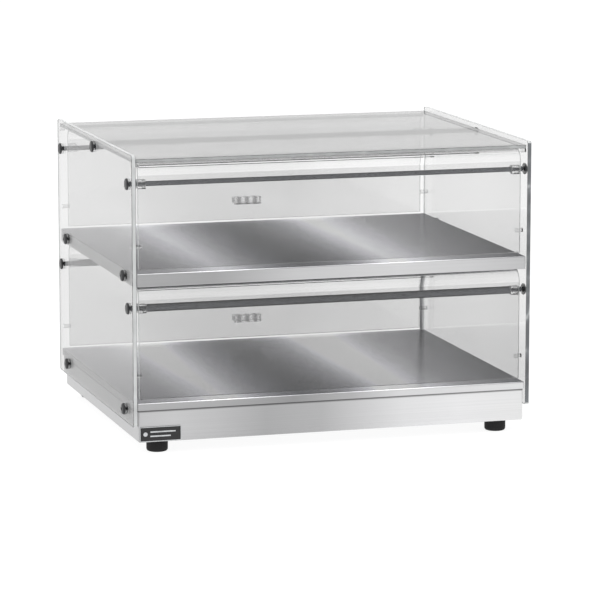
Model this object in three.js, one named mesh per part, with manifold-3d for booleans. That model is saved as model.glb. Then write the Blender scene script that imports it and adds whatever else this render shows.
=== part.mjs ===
// Two-tier heated display case: clear acrylic walls hung on steel rods over a stainless heated base.
// Millimetres. X is the width, Y runs from the customer's side to the operator's side, Z is up.
// The origin is on the ground, under the middle of the case.
import * as THREE from 'three';
import { mergeVertices } from 'three/addons/utils/BufferGeometryUtils.js';
import Module from 'manifold-3d';

const wasm = await Module();
wasm.setup();

// ---- driving dimensions ----
const gap = 0.3;                 // between pieces that touch
const caseWidth = 500;           // over the two side panels
const caseDepth = 395;           // front edge to rear edge of a side panel
const caseHeight = 360;          // ground to the top edge of the side panels
const overallDepth = 402;        // front edge of the panels to the face of the thermostat knob
const panelThickness = 5;
const panelBottom = 34;          // lower edge of the side panels
const panelCorner = 4;
const footHeight = 15;
const deckTop = 63;
const deckLip = 9;               // the deck's edge is folded down over the housing
const shelfTop = 219;
const shelfHeight = 16;
const trayFront = 1;             // deck and shelf start this far behind the panels' front edge
const trayRear = 6;              // and stop this far before their rear edge
const steelSheet = 1.2;
const roofBottom = 351;
const roofThickness = 4;
const roofInset = 3;
const rodRadius = 3;
const rodInset = 20;             // rod axis to the panel's front or rear edge
const upperRodZ = 324;
const lowerRodZ = 175;
const boreRadius = rodRadius + gap;
const flapThickness = 4;
const flapFaceOffset = 10.5;     // outer face of a flap to its rod's axis
const flapBendRadius = 16;       // outer radius of the bend along a flap's top
const flapBendStart = 10.5;      // height of the bend above the rod's axis
const flapFloorGap = 3;
const lugRadius = 5.4;
const lugWidth = 10;
const sleeveRadius = 4.7;        // steel sleeve over each lower rod, between the flap's lugs
const buttonRadius = 7;          // heads of the rod caps and the side screws
const stopHeight = 30;           // stop pegs above each tier's floor
const pegRadius = 2.5;
const screwInset = 45;           // side screws to the panel's front or rear edge
const screwRadius = 2;
const conduitRadius = 2.2;
const conduitBore = 1.6;
const leadRadius = 1.1;
const roundSides = 16;

// ---- values that follow ----
const halfWidth = caseWidth / 2;
const innerHalf = halfWidth - panelThickness;
const trayHalf = innerHalf - gap;
const frontY = -overallDepth / 2;
const rearY = frontY + caseDepth;
const trayFrontY = frontY + trayFront;
const trayRearY = rearY - trayRear;
const trayMidY = (trayFrontY + trayRearY) / 2;
const shelfBottom = shelfTop - shelfHeight;
const housingHalf = trayHalf - steelSheet - gap;
const housingRearY = trayRearY - steelSheet - gap;
const housingTop = deckTop - steelSheet - gap;
const roofRodZ = roofBottom - gap - rodRadius;
const caseMidY = (frontY + rearY) / 2;
const flapInner = flapFaceOffset - flapThickness;

// The rear flaps are narrower, so that the lower one clears the shelf's conduit.
const faces = [
  { name: 'front', outward: -1, rodY: frontY + rodInset, flapHalf: 240 },
  { name: 'rear', outward: 1, rodY: rearY - rodInset, flapHalf: 236 },
];
const tiers = [
  { name: 'upper', floor: shelfTop, rodZ: upperRodZ },
  { name: 'lower', floor: deckTop, rodZ: lowerRodZ },
];
const ends = [
  { name: 'left', sign: -1 },
  { name: 'right', sign: 1 },
];
const screwRows = [
  { name: 'shelf', z: shelfTop - shelfHeight / 2 },
  { name: 'base', z: 49 },
];
const rods = [{ name: 'roof', y: caseMidY, z: roofRodZ }];
for (const face of faces) {
  for (const tier of tiers) {
    rods.push({ name: `${face.name}_${tier.name}`, y: face.rodY, z: tier.rodZ });
  }
}

// Controls on the base's rear wall, by X.
const controlZ = 35;
const thermostatX = -150;
const lampX = -108;
const switchX = -78;
const glandX = 180;
const conduitX = 239.2;
const conduitY = housingRearY - steelSheet - gap - conduitRadius - 0.05;

// ---- materials ----
const finish = (color, roughness, metalness, extra = {}) =>
  new THREE.MeshStandardMaterial({ color, roughness, metalness, ...extra });
const acrylic = () => finish(0xf2f5f5, 0.05, 0, { transparent: true, opacity: 0.3 });
const steel = () => finish(0xc4c6c8, 0.3, 1);
const polishedSteel = () => finish(0x9a9c9f, 0.15, 1);
const blackPlastic = () => finish(0x17181a, 0.45, 0);
const rubber = () => finish(0x1b1b1c, 0.8, 0);

// ---- helpers ----
const group = new THREE.Group();

function place(name, geometry, material, x = 0, y = 0, z = 0) {
  const mesh = new THREE.Mesh(geometry, material);
  mesh.name = name;
  mesh.position.set(x, y, z);
  group.add(mesh);
  return mesh;
}

function toSolid(geometry) {
  const bare = geometry.clone();
  bare.deleteAttribute('normal');
  bare.deleteAttribute('uv');
  const merged = mergeVertices(bare, 1e-4);
  return new wasm.Manifold(new wasm.Mesh({
    numProp: 3,
    vertProperties: new Float32Array(merged.attributes.position.array),
    triVerts: new Uint32Array(merged.index.array),
  }));
}

function toGeometry(solid) {
  const mesh = solid.getMesh();
  const geometry = new THREE.BufferGeometry();
  geometry.setAttribute('position', new THREE.BufferAttribute(mesh.vertProperties, 3));
  geometry.setIndex(new THREE.BufferAttribute(mesh.triVerts, 1));
  return geometry;
}

const join = (first, ...others) => toGeometry(
  others.reduce((solid, other) => solid.add(toSolid(other)), toSolid(first)));
const cut = (first, ...others) => toGeometry(
  others.reduce((solid, other) => solid.subtract(toSolid(other)), toSolid(first)));

function box(width, depth, height, x = 0, y = 0, z = 0) {
  return new THREE.BoxGeometry(width, depth, height).translate(x, y, z);
}

// A box given by its lowest and highest corners.
function block(low, high) {
  const size = high.map((value, i) => value - low[i]);
  const middle = high.map((value, i) => (value + low[i]) / 2);
  return box(...size, ...middle);
}

function barX(radius, length, x, y, z, sides = roundSides) {
  return new THREE.CylinderGeometry(radius, radius, length, sides).rotateZ(Math.PI / 2).translate(x, y, z);
}

function barY(radius, length, x, y, z, sides = roundSides) {
  return new THREE.CylinderGeometry(radius, radius, length, sides).translate(x, y, z);
}

function barZ(radius, length, x, y, z, sides = roundSides) {
  return new THREE.CylinderGeometry(radius, radius, length, sides).rotateX(Math.PI / 2).translate(x, y, z);
}

// A turned shape; profile points are [radius, distance along the axis], and the axis is +Y.
function turned(profile, sides = roundSides) {
  return new THREE.LatheGeometry(profile.map(([r, along]) => new THREE.Vector2(r, along)), sides);
}

const towardsX = (geometry, sign) => geometry.rotateZ(-sign * Math.PI / 2);

// Extrudes an outline drawn in (Y, Z) along +X, starting at x = 0.
function extrudeX(shape, length) {
  const geometry = new THREE.ExtrudeGeometry(shape, { depth: length, bevelEnabled: false, curveSegments: 8 });
  const axes = new THREE.Matrix4().makeBasis(
    new THREE.Vector3(0, 1, 0), new THREE.Vector3(0, 0, 1), new THREE.Vector3(1, 0, 0));
  return geometry.applyMatrix4(axes);
}

function arc(centreA, centreB, radius, startDeg, endDeg, steps) {
  return Array.from({ length: steps + 1 }, (_, i) => {
    const angle = THREE.MathUtils.degToRad(startDeg + (endDeg - startDeg) * i / steps);
    return [centreA + radius * Math.cos(angle), centreB + radius * Math.sin(angle)];
  });
}

const outline = (points) => new THREE.Shape(points.map(([a, b]) => new THREE.Vector2(a, b)));

function roundHole(a, b, radius) {
  const points = arc(a, b, radius, 0, 360 - 360 / roundSides, roundSides - 1);
  return new THREE.Path(points.map(([u, v]) => new THREE.Vector2(u, v)));
}

// A route through given stations, stepped from one station to the next.
class Route extends THREE.Curve {
  constructor(stations) {
    super();
    this.stations = stations;
  }

  getPoint(t) {
    const along = t * (this.stations.length - 1);
    const i = Math.min(Math.floor(along), this.stations.length - 2);
    return this.stations[i].clone().lerp(this.stations[i + 1], along - i);
  }

  getPointAt(u) { return this.getPoint(u); }

  getTangentAt(u) { return this.getTangent(u); }
}

// A round lead along straight runs with rounded corners.
function alongRoute(points, radius, bend) {
  const corners = points.map((p) => new THREE.Vector3(...p));
  const stations = [corners[0]];
  for (let i = 1; i < corners.length - 1; i += 1) {
    const before = corners[i].clone().lerp(corners[i - 1], bend / corners[i].distanceTo(corners[i - 1]));
    const after = corners[i].clone().lerp(corners[i + 1], bend / corners[i].distanceTo(corners[i + 1]));
    stations.push(...new THREE.QuadraticBezierCurve3(before, corners[i], after).getPoints(4));
  }
  stations.push(corners.at(-1));
  const section = outline(arc(0, 0, radius, 0, 315, 7));
  return new THREE.ExtrudeGeometry(section, {
    steps: stations.length - 1, extrudePath: new Route(stations), bevelEnabled: false,
  });
}

// A folded tray, open underneath.
function tray(top, height) {
  const shell = block([-trayHalf, trayFrontY, top - height], [trayHalf, trayRearY, top]);
  const hollow = block(
    [-trayHalf + steelSheet, trayFrontY + steelSheet, top - height - 1],
    [trayHalf - steelSheet, trayRearY - steelSheet, top - steelSheet]);
  return [shell, hollow];
}

const screwYs = [
  { name: 'front', y: frontY + screwInset },
  { name: 'rear', y: rearY - screwInset },
];
const screwHoles = (row) => screwYs.map(({ y }) => barX(screwRadius + gap, caseWidth + 10, 0, y, row.z));

// ---- clear side panels, with their stop pegs and roof pegs bonded on ----
function sidePanel({ name, sign }) {
  const c = panelCorner;
  const shape = outline([
    ...arc(frontY + c, panelBottom + c, c, 180, 270, 3),
    ...arc(rearY - c, panelBottom + c, c, 270, 360, 3),
    ...arc(rearY - c, caseHeight - c, c, 0, 90, 3),
    ...arc(frontY + c, caseHeight - c, c, 90, 180, 3),
  ]);
  for (const rod of rods) shape.holes.push(roundHole(rod.y, rod.z, boreRadius));
  for (const row of screwRows) {
    for (const { y } of screwYs) shape.holes.push(roundHole(y, row.z, screwRadius + gap));
  }
  const left = sign < 0 ? -halfWidth : innerHalf;
  const sheet = extrudeX(shape, panelThickness).translate(left, 0, 0);
  const pegs = [];
  for (const face of faces) {
    const stopY = face.rodY + face.outward * (flapInner - gap - pegRadius);
    for (const tier of tiers) pegs.push(peg(sign, 9.5, stopY, tier.floor + stopHeight));
    const roofPegY = face.rodY + face.outward * (rodInset - 8);
    pegs.push(peg(sign, 6, roofPegY, roofBottom - gap - pegRadius));
  }
  place(`side_panel_${name}`, join(sheet, ...pegs), acrylic());
}

function peg(sign, reach, y, z) {
  const bonded = 1;             // the part of the peg inside the sheet
  return barX(pegRadius, reach + bonded, sign * (innerHalf - (reach - bonded) / 2), y, z, 8);
}

ends.forEach(sidePanel);

// ---- roof ----
place('roof_panel', block(
  [-trayHalf, frontY + roofInset, roofBottom],
  [trayHalf, rearY - roofInset - 2, roofBottom + roofThickness]), acrylic());

// ---- rods and their end caps ----
const capThickness = 2.8;
const spigotRadius = 1.5;
const spigotLength = 9;          // the cap's spigot goes into a hole in the rod's end
const rodLength = caseWidth - 2 * gap;

function endCap() {
  return turned([
    [0, -spigotLength], [spigotRadius, -spigotLength], [spigotRadius, 0], [buttonRadius, 0],
    [buttonRadius, capThickness - 1.2], [buttonRadius - 1.4, capThickness], [0, capThickness]]);
}

function rodBar() {
  const holes = ends.map(({ sign }) => barX(
    spigotRadius + gap, 2 * (spigotLength + gap), sign * rodLength / 2, 0, 0, 12));
  return cut(barX(rodRadius, rodLength, 0, 0, 0), ...holes);
}

for (const rod of rods) {
  place(`rod_${rod.name}`, rodBar(), steel(), 0, rod.y, rod.z);
  for (const { name, sign } of ends) {
    const cap = towardsX(endCap(), sign);
    place(`rod_cap_${rod.name}_${name}`, cap, blackPlastic(), sign * (halfWidth + gap), rod.y, rod.z);
  }
}

// ---- side screws ----
function sideScrew() {
  return turned([
    [0, -13], [screwRadius, -13], [screwRadius, 0], [buttonRadius, 0], [buttonRadius, 1.8],
    [buttonRadius - 1.8, 3.5], [0, 3.5]], 16);
}

for (const row of screwRows) {
  for (const spot of screwYs) {
    for (const { name, sign } of ends) {
      const screw = towardsX(sideScrew(), sign);
      place(`screw_${row.name}_${spot.name}_${name}`, screw, blackPlastic(),
        sign * (halfWidth + gap), spot.y, row.z);
    }
  }
}

// ---- heated middle shelf: pan, heater mat and underside ----
const undersideBottom = shelfBottom + 1;
const matHalf = 200;
const matInset = 40;
const matThickness = 2;
const conduitHole = () => barZ(conduitRadius + gap, 200, conduitX, conduitY, 140, 16);

const [shelfShell, shelfHollow] = tray(shelfTop, shelfHeight);
place('shelf_pan', cut(shelfShell, shelfHollow, ...screwHoles(screwRows[0])), polishedSteel());
const underside = block(
  [-housingHalf, trayFrontY + steelSheet + gap, undersideBottom],
  [housingHalf, housingRearY, undersideBottom + 1]);
place('shelf_underside', cut(underside, conduitHole()), steel());

function heaterMat(name, trayTop) {
  const top = trayTop - steelSheet - gap;
  place(name, block(
    [-matHalf, trayFrontY + matInset, top - matThickness],
    [matHalf, trayRearY - matInset, top]), finish(0xb5502c, 0.7, 0));
}

heaterMat('shelf_heater', shelfTop);
heaterMat('base_heater', deckTop);

// ---- heated base: deck, housing, bottom cover and feet ----
const switchCut = { width: 13.4, height: 19.4 };
const coverTop = footHeight + 1;
const flangeTop = coverTop + gap + steelSheet;
const flangeReach = 12;
const footX = 215;
const footInset = 25;
const footYs = [
  { name: 'front', y: frontY + footInset },
  { name: 'rear', y: rearY - footInset },
];
const stemRadius = 3.5;

const [deckShell, deckHollow] = tray(deckTop, deckLip);
place('deck_plate', cut(deckShell, deckHollow, conduitHole()), polishedSteel());

function housing() {
  const frontFaceY = trayFrontY + steelSheet + gap;
  const outer = block([-housingHalf, frontFaceY, footHeight], [housingHalf, housingRearY, housingTop]);
  const inner = block(
    [-housingHalf + steelSheet, frontFaceY + steelSheet, flangeTop],
    [housingHalf - steelSheet, housingRearY - steelSheet, housingTop + 1]);
  const below = block(
    [-housingHalf + steelSheet, frontFaceY + steelSheet, footHeight - 1],
    [housingHalf - steelSheet, housingRearY - steelSheet, coverTop + gap]);
  const window = block(
    [-housingHalf + flangeReach, frontFaceY + flangeReach, footHeight],
    [housingHalf - flangeReach, housingRearY - flangeReach, flangeTop + 1]);
  const throughWall = (radius, x) => barY(radius, 10, x, housingRearY, controlZ);
  return cut(outer, inner, below, window, ...screwHoles(screwRows[1]),
    throughWall(3.6, thermostatX), throughWall(4.3, lampX), throughWall(6.4, glandX),
    box(switchCut.width, 10, switchCut.height, switchX, housingRearY, controlZ));
}

place('base_housing', housing(), steel());

function bottomCover() {
  const edge = housingHalf - steelSheet - gap;
  const frontEdge = trayFrontY + 2 * (steelSheet + gap);
  const rearEdge = housingRearY - steelSheet - gap;
  const plate = block([-edge, frontEdge, footHeight], [edge, rearEdge, coverTop]);
  const holes = [];
  for (const { sign } of ends) {
    for (const { y } of footYs) holes.push(barZ(stemRadius + gap, 10, sign * footX, y, footHeight, 16));
  }
  for (let i = 0; i < 7; i += 1) {
    for (const y of [trayMidY - 60, trayMidY + 60]) holes.push(box(6, 50, 10, -120 + 40 * i, y, footHeight));
  }
  return cut(plate, ...holes);
}

place('bottom_cover', bottomCover(), steel());

// A push-in rubber foot: pad below, stem through the cover, barb above it.
function foot() {
  return turned([
    [0, 0], [12, 0], [13, 2], [13, footHeight - gap], [stemRadius, footHeight - gap],
    [stemRadius, coverTop + gap], [4.6, coverTop + gap], [3, coverTop + 4], [0, coverTop + 4]])
    .rotateX(Math.PI / 2);
}

for (const spot of footYs) {
  for (const { name, sign } of ends) {
    place(`foot_${spot.name}_${name}`, foot(), rubber(), sign * footX, spot.y, 0);
  }
}

const badge = { width: 51, height: 18, thickness: 0.8, left: -242, bottom: footHeight + 1 };
const badgeBackY = trayFrontY + steelSheet;
place('badge_plate', block(
  [badge.left, badgeBackY - badge.thickness, badge.bottom],
  [badge.left + badge.width, badgeBackY, badge.bottom + badge.height]), blackPlastic());

// ---- flaps: bent clear sheets that turn on the rods ----
function flap(face, tier) {
  const sheetFoot = tier.floor + flapFloorGap - tier.rodZ;
  const bendCentre = flapFaceOffset - flapBendRadius;
  const mirror = ([a, b]) => [a * face.outward, b];
  const sheet = outline([
    [flapInner, sheetFoot], [flapFaceOffset, sheetFoot],
    ...arc(bendCentre, flapBendStart, flapBendRadius, 0, 90, 6),
    ...arc(bendCentre, flapBendStart, flapBendRadius - flapThickness, 90, 0, 6),
  ].map(mirror));
  const lug = outline([
    [flapInner + 1, -lugRadius], [flapInner + 1, lugRadius], ...arc(0, 0, lugRadius, 90, 270, 8),
  ].map(mirror));
  lug.holes.push(roundHole(0, 0, boreRadius));
  const half = face.flapHalf;
  const lugs = [-half, half - lugWidth].map((x) => extrudeX(lug, lugWidth).translate(x, 0, 0));
  const wholeSheet = extrudeX(sheet, 2 * half).translate(-half, 0, 0);
  place(`flap_${face.name}_${tier.name}`, join(wholeSheet, ...lugs), acrylic(), 0, face.rodY, tier.rodZ);
}

for (const face of faces) {
  for (const tier of tiers) flap(face, tier);
}

// ---- sleeves that keep the lower flaps' lugs at the ends of their rods ----
for (const face of faces) {
  const length = 2 * (face.flapHalf - lugWidth - gap);
  const tube = cut(barX(sleeveRadius, length, 0, 0, 0), barX(boreRadius, length + 2, 0, 0, 0));
  place(`sleeve_${face.name}_lower`, tube, steel(), 0, face.rodY, lowerRodZ);
}

// A clear finger pull on each rear flap: a waisted bar.
const pull = { width: 36, height: 10, reach: 14, waist: 3, aboveFloor: 27 };

function fingerPull() {
  const half = pull.height / 2;
  const shape = outline([
    [0, -half], [3, -half], [6, -pull.waist], [9, -pull.waist], ...arc(pull.reach - 3.5, 0, 3.5, -70, 70, 6),
    [9, pull.waist], [6, pull.waist], [3, half], [0, half]]);
  return extrudeX(shape, pull.width).translate(-pull.width / 2, 0, 0);
}

for (const tier of tiers) {
  place(`pull_${tier.name}`, fingerPull(), acrylic(),
    0, faces[1].rodY + flapFaceOffset + gap, tier.floor + pull.aboveFloor);
}

// ---- thermostat ----
const wallOuterY = housingRearY;
const wallInnerY = housingRearY - steelSheet;
const knobStartY = wallOuterY + 0.5;
const knobEndY = overallDepth / 2;
const spindleRadius = 3.2;

place('thermostat_body', block([-15, -24, -14], [15, 0, 14]), finish(0xd9d5c8, 0.6, 0),
  thermostatX, wallInnerY - gap, controlZ);
place('thermostat_spindle', barY(spindleRadius, 12, 0, 6, 0), finish(0x8d8f92, 0.4, 1),
  thermostatX, wallInnerY, controlZ);

function knob() {
  const depth = knobEndY - knobStartY;
  const body = turned([
    [0, 10.5], [spindleRadius + gap, 10.5], [spindleRadius + gap, 0], [15, 0], [15, 1.6], [11.2, 3],
    [10.2, depth - 1.2], [9.2, depth], [0, depth]], 20);
  const pointer = box(2, 2.4, 9, 0, depth - 1.8, 6.8);
  return join(body, pointer);
}

place('thermostat_knob', knob(), blackPlastic(), thermostatX, knobStartY, controlZ);

// ---- sensor bulb, clipped under the deck, with its capillary ----
const capillary = alongRoute([
  [thermostatX + 8, wallInnerY - 24 - 2 * gap, 30], [thermostatX + 8, wallInnerY - 60, 30],
  [thermostatX + 8, wallInnerY - 60, 54], [thermostatX + 8, 40, 54]], 0.9, 8);
const bulb = barY(2.6, 60, thermostatX + 8, 12, 54, 12);
place('sensor_bulb', join(capillary, bulb), finish(0xb87550, 0.35, 1));

// ---- pilot lamp ----
place('pilot_lamp', turned([
  [0, -14], [3.9, -14], [3.9, steelSheet - 0.2 + gap], [6, steelSheet - 0.2 + gap], [6, 2.6], [5, 3.4], [4.4, 4.4],
  [2.6, 5.6], [0, 6]]), finish(0xd2781e, 0.25, 0), lampX, wallInnerY, controlZ);

// ---- rocker switch ----
const rockerTilt = THREE.MathUtils.degToRad(8);

function switchBody() {
  const bezel = block([-7.6, gap, -10.8], [7.6, 2, 10.8]);
  const barrel = block([-6.4, -16, -9.4], [6.4, 1, 9.4]);
  const well = block([-5.2, -7, -8.6], [5.2, 5, 8.6]);
  return cut(join(bezel, barrel), well);
}

function rocker() {
  const shape = outline([
    [-3, -4], [1.4, -7.6], [3.4, -7.6], [2.2, 0], [3.4, 7.6], [1.4, 7.6], [-3, 4]]);
  return extrudeX(shape, 9.6).translate(-4.8, 0, 0);
}

place('switch_body', switchBody(), blackPlastic(), switchX, wallOuterY, controlZ);
place('switch_rocker', rocker(), blackPlastic(), switchX, wallOuterY, controlZ).rotation.x = rockerTilt;

// ---- mains inlet: cord gland and terminal block ----
place('cord_gland', turned([
  [3.6, -8], [6, -8], [6, gap], [9, gap], [9, 3.4], [7.4, 4], [6.6, 9], [4.6, 10.5], [3.6, 10.5], [3.6, -8]]),
  blackPlastic(), glandX, wallOuterY, controlZ);

function terminalBlock() {
  const body = box(30, 16, 13);
  const slots = [-10, 0, 10].map((x) => box(6, 20, 6, x, 0, 5));
  return cut(body, ...slots);
}

place('terminal_block', terminalBlock(), finish(0xe9e6dc, 0.5, 0), 130, 130, flangeTop + 7);

// ---- wiring inside the base ----
const wireHigh = 27;
place('supply_leads', alongRoute([
  [glandX, wallOuterY - 12, controlZ], [glandX, 130, controlZ], [145 + 2 * gap + leadRadius, 130, wireHigh]],
2.4, 10), finish(0x2a2a2c, 0.6, 0));
place('switch_leads', alongRoute([
  [130, 121, wireHigh], [130, 100, wireHigh], [switchX, 100, wireHigh], [switchX, wallOuterY - 17, wireHigh]],
leadRadius, 10), finish(0x6b3a1e, 0.6, 0));
place('base_heater_leads', alongRoute([
  [thermostatX, wallInnerY - 24 - 2 * gap - leadRadius, 26], [thermostatX, 80, 26], [-60, 80, 26],
  [-60, 80, 57]], leadRadius, 8), finish(0xb8b8b4, 0.6, 0));

// The shelf's leads climb from the base to the shelf inside a thin steel conduit.
function conduit() {
  const wall = [
    [conduitBore, deckTop - 6], [conduitRadius, deckTop - 6], [conduitRadius, undersideBottom + 2],
    [conduitBore, undersideBottom + 2], [conduitBore, deckTop - 6]];
  return turned(wall, 12).rotateX(Math.PI / 2);
}

place('shelf_conduit', conduit(), steel(), conduitX, conduitY, 0);
const shelfLeadZ = undersideBottom + 7.5;
place('shelf_heater_leads', alongRoute([
  [thermostatX - 8, wallInnerY - 24 - 2 * gap - leadRadius, 44], [thermostatX - 8, 110, 44], [conduitX, 110, 44],
  [conduitX, conduitY, 44], [conduitX, conduitY, shelfLeadZ], [190, conduitY, shelfLeadZ],
  [190, 150, shelfLeadZ]], leadRadius, 5), finish(0xb8b8b4, 0.6, 0));

export default group;
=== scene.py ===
# Two-tier heated display case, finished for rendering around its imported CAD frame.
# Metres, X across the case, -Y towards the customer, Z up, origin on the ground.
import math

import bmesh
import bpy
from mathutils import Matrix, Vector


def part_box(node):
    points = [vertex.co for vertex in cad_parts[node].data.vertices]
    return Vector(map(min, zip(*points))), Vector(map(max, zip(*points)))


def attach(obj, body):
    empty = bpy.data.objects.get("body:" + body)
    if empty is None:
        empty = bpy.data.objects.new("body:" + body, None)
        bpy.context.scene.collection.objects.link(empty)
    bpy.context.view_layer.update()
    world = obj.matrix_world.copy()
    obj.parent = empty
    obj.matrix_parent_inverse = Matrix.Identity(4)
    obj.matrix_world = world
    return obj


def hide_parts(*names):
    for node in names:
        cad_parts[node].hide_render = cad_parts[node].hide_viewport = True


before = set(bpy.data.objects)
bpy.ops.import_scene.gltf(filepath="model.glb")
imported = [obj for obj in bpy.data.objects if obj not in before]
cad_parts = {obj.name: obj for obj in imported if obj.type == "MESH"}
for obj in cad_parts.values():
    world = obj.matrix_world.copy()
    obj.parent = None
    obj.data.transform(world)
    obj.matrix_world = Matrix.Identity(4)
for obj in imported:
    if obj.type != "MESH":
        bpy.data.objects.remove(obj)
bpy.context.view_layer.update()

mm = 0.001
print("frame loaded")


# ---------- small tools for modelling ----------
def goToObjectMode():
    if bpy.context.object and bpy.context.object.mode != "OBJECT":
        bpy.ops.object.mode_set(mode="OBJECT")


def deselectAll():
    goToObjectMode()
    bpy.ops.object.select_all(action="DESELECT")


def makeActive(piece):
    deselectAll()
    piece.select_set(True)
    bpy.context.view_layer.objects.active = piece


def editMode(piece):
    makeActive(piece)
    bpy.ops.object.mode_set(mode="EDIT")


def applyPlace(piece):
    makeActive(piece)
    bpy.ops.object.transform_apply(location=True, rotation=True, scale=True)


def nameNew(name):
    piece = bpy.context.object
    piece.name = name
    piece.data.name = name
    applyPlace(piece)
    return piece


def addBlock(name, low, high):
    deselectAll()
    middle = [(a + b) / 2 for a, b in zip(low, high)]
    size = [abs(b - a) for a, b in zip(low, high)]
    bpy.ops.mesh.primitive_cube_add(size=1, location=middle, scale=size)
    return nameNew(name)


def addRound(name, radius, start, end, sides=32):
    deselectAll()
    start, end = Vector(start), Vector(end)
    axis = end - start
    bpy.ops.mesh.primitive_cylinder_add(vertices=sides, radius=radius, depth=axis.length,
                                        location=(start + end) / 2,
                                        rotation=axis.to_track_quat("Z", "Y").to_euler())
    return nameNew(name)


def addBar(name, radius, startX, endX, spot, sides=32):
    # a round bar that runs along X through a spot
    return addRound(name, radius, (startX, spot.y, spot.z), (endX, spot.y, spot.z), sides)


def standAt(piece, centre, direction):
    # a piece modelled about the Z axis is turned to its direction and moved to its place
    piece.rotation_euler = Vector(direction).to_track_quat("Z", "Y").to_euler()
    piece.location = centre
    applyPlace(piece)


def addTurned(name, profile, steps=40):
    # a chain of points (radius, height in mm) spun about the Z axis
    deselectAll()
    bpy.ops.mesh.primitive_plane_add(size=mm)
    piece = nameNew(name)
    editMode(piece)
    bpy.ops.mesh.select_mode(type="VERT")
    bpy.ops.mesh.select_all(action="SELECT")
    bpy.ops.mesh.merge(type="CENTER")
    bpy.ops.transform.translate(value=(profile[0][0] * mm, 0, profile[0][1] * mm))
    for (radius, height), (nextRadius, nextHeight) in zip(profile, profile[1:]):
        step = ((nextRadius - radius) * mm, 0, (nextHeight - height) * mm)
        bpy.ops.mesh.extrude_vertices_move(TRANSFORM_OT_translate={"value": step})
    bpy.ops.mesh.select_all(action="SELECT")
    bpy.ops.mesh.spin(steps=steps, angle=2 * math.pi, center=(0, 0, 0), axis=(0, 0, 1))
    closeUp()
    goToObjectMode()
    return piece


def closeUp():
    # merges what lies together and turns the faces outwards, in edit mode
    bpy.ops.mesh.select_all(action="SELECT")
    bpy.ops.mesh.remove_doubles(threshold=0.002 * mm)
    bpy.ops.mesh.normals_make_consistent(inside=False)


def pickFaces(piece, test):
    bpy.ops.mesh.select_mode(type="FACE")
    bpy.ops.mesh.select_all(action="DESELECT")
    form = bmesh.from_edit_mesh(piece.data)
    for face in form.faces:
        face.select_set(bool(test(face.calc_center_median(), face.normal)))
    bmesh.update_edit_mesh(piece.data)


def pickEdges(piece, test):
    bpy.ops.mesh.select_mode(type="EDGE")
    bpy.ops.mesh.select_all(action="DESELECT")
    form = bmesh.from_edit_mesh(piece.data)
    for edge in form.edges:
        a, b = (corner.co for corner in edge.verts)
        edge.select_set(bool(test((a + b) / 2, (b - a).normalized())))
    bmesh.update_edit_mesh(piece.data)


def bevelEdges(piece, test, width, segments):
    # rounds the picked edges by a width in mm, in edit mode
    pickEdges(piece, test)
    bpy.ops.mesh.bevel(offset=width * mm, segments=segments, affect="EDGES")


def joinAll(pieces):
    makeActive(pieces[0])
    for piece in pieces:
        piece.select_set(True)
    bpy.ops.object.join()
    return bpy.context.object


def applyModifier(piece, kind, **settings):
    makeActive(piece)
    step = piece.modifiers.new(kind.title(), kind)
    for key, value in settings.items():
        setattr(step, key, value)
    bpy.ops.object.modifier_apply(modifier=step.name)


def combine(piece, others, how="DIFFERENCE"):
    # others lie clear of each other, so they go in as one
    tool = joinAll(others)
    applyModifier(piece, "BOOLEAN", operation=how, solver="EXACT", object=tool)
    bpy.data.objects.remove(tool)


def giveWall(piece, thickness):
    # an open sheet form gets its thickness in mm, inwards
    applyModifier(piece, "SOLIDIFY", thickness=thickness * mm, offset=-1, use_even_offset=True)


def smoothFaces(piece, angle):
    makeActive(piece)
    bpy.ops.object.shade_smooth_by_angle(angle=math.radians(angle))
    applyModifier(piece, "WEIGHTED_NORMAL", keep_sharp=True)


def softenEdges(piece, width, segments=2, limit=40, smooth=24):
    # every sharp edge gets a small round, and flat faces keep their flat shading
    applyModifier(piece, "BEVEL", width=width * mm, segments=segments, limit_method="ANGLE",
                  angle_limit=math.radians(limit), use_clamp_overlap=False)
    smoothFaces(piece, smooth)


def copyPiece(piece, name):
    twin = piece.copy()
    twin.data = piece.data.copy()
    twin.name = name
    twin.data.name = name
    bpy.context.scene.collection.objects.link(twin)
    return twin


def mirroredCopy(piece, name):
    twin = copyPiece(piece, name)
    twin.scale = (-1, 1, 1)
    applyPlace(twin)
    editMode(twin)
    bpy.ops.mesh.select_all(action="SELECT")
    bpy.ops.mesh.normals_make_consistent(inside=False)
    goToObjectMode()
    return twin


def paintFaces(piece, index, test):
    for face in piece.data.polygons:
        if test(face.center, face.normal):
            face.material_index = index


def finishPiece(piece, body, slotName, materials, *nodes):
    piece.data.materials.clear()
    for material in materials:
        piece.data.materials.append(material)
    if nodes:
        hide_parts(*nodes)
    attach(piece, body)


def measured(node):
    # a CAD node's lowest corner, highest corner and middle
    low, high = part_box(node)
    return low, high, (low + high) / 2


def middleOf(node):
    return measured(node)[2]


def asName(words):
    return words.title().replace("_", "")


# ---------- small tools for materials ----------
def hexColour(code):
    # an sRGB hex value as a linear colour
    parts = [int(code[i:i + 2], 16) / 255 for i in (1, 3, 5)]
    linear = [c / 12.92 if c <= 0.04045 else ((c + 0.055) / 1.055) ** 2.4 for c in parts]
    return (*linear, 1.0)


def addNode(tree, kind, settings=None, inputs=None, stops=None):
    # an input takes a value, a socket, or a node whose first output goes in
    node = tree.nodes.new("ShaderNode" + kind)
    for key, value in (settings or {}).items():
        setattr(node, key, value)
    for key, value in (inputs or {}).items():
        if isinstance(value, bpy.types.Node):
            value = value.outputs[0]
        if isinstance(value, bpy.types.NodeSocket):
            tree.links.new(value, node.inputs[key])
        else:
            node.inputs[key].default_value = value
    if stops:
        ramp = node.color_ramp.elements
        while len(ramp) < len(stops):
            ramp.new(0.5)
        for element, (position, code) in zip(ramp, stops):
            element.position = position
            element.color = hexColour(code)
    return node


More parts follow.
